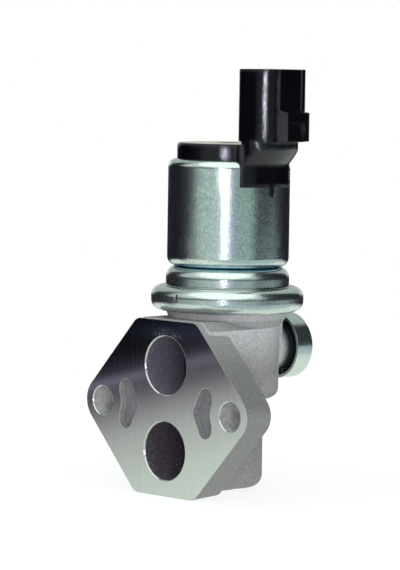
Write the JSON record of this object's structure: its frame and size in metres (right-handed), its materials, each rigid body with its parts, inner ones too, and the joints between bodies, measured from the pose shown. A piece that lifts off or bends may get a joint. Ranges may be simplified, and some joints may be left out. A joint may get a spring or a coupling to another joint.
{
  "type": "idle air control valve",
  "caption": "Solenoid air valve: six sided flange with ports on a cast body, rolled steel rim, plated can, black connector tower, vent cap at the back.",
  "frame": {"origin": "centre of the mounting face, midway between the two bolt holes", "axes": "-Y out of the mounting face, +Z along the solenoid towards the connector, +X towards the connector's side"},
  "size_m": [0.0662, 0.0502, 0.1214],
  "materials": {
    "cast_body": "sand textured die casting with a machined face",
    "plated_steel": "bright zinc plated pressing",
    "magnet_steel": "turned and plated",
    "stainless": "ground",
    "brass": "turned",
    "bronze": "sintered, oiled",
    "copper_wire": "enamelled wire",
    "black_plastic": "glossy moulded",
    "bobbin_plastic": "moulded",
    "tape": "polyester tape",
    "seal_rubber": "moulded",
    "poppet_metal": "turned",
    "filter_felt": "felt",
    "tinned_brass": "tin plated"
  },
  "bodies": {
    "housing": {"valve_body": "cast_body", "valve_seat": "stainless", "guide_plate": "magnet_steel", "guide_bush": "bronze", "stop_washer": "seal_rubber", "sleeve_seal": "seal_rubber", "body_seal": "seal_rubber", "crimp_collar": "plated_steel", "guide_sleeve": "brass", "bobbin_washer": "stainless", "coil_bobbin": "bobbin_plastic", "coil_winding": "copper_wire", "coil_tape": "tape", "pole_core": "magnet_steel", "pole_shim": "brass", "core_plate": "magnet_steel", "adjuster_screw": "brass", "return_spring": "stainless", "adjuster_plug": "black_plastic", "solenoid_can": "plated_steel", "connector_housing": "black_plastic", "vent_filter": "filter_felt", "vent_cap": "plated_steel", "terminal_front": "tinned_brass", "terminal_rear": "tinned_brass"},
    "plunger": {"valve_rod": "stainless", "armature": "magnet_steel", "poppet": "poppet_metal", "poppet_seal": "seal_rubber", "rod_clip": "stainless"}
  },
  "joints": [
    {"name": "valve_lift", "type": "slide", "parent": "housing", "child": "plunger", "axis": [0, 0, 1], "range_m": [0, 0.0035], "stiffness_N_per_m": 500, "springref_m": -0.006, "deforming": ["return_spring"]}
  ]
}
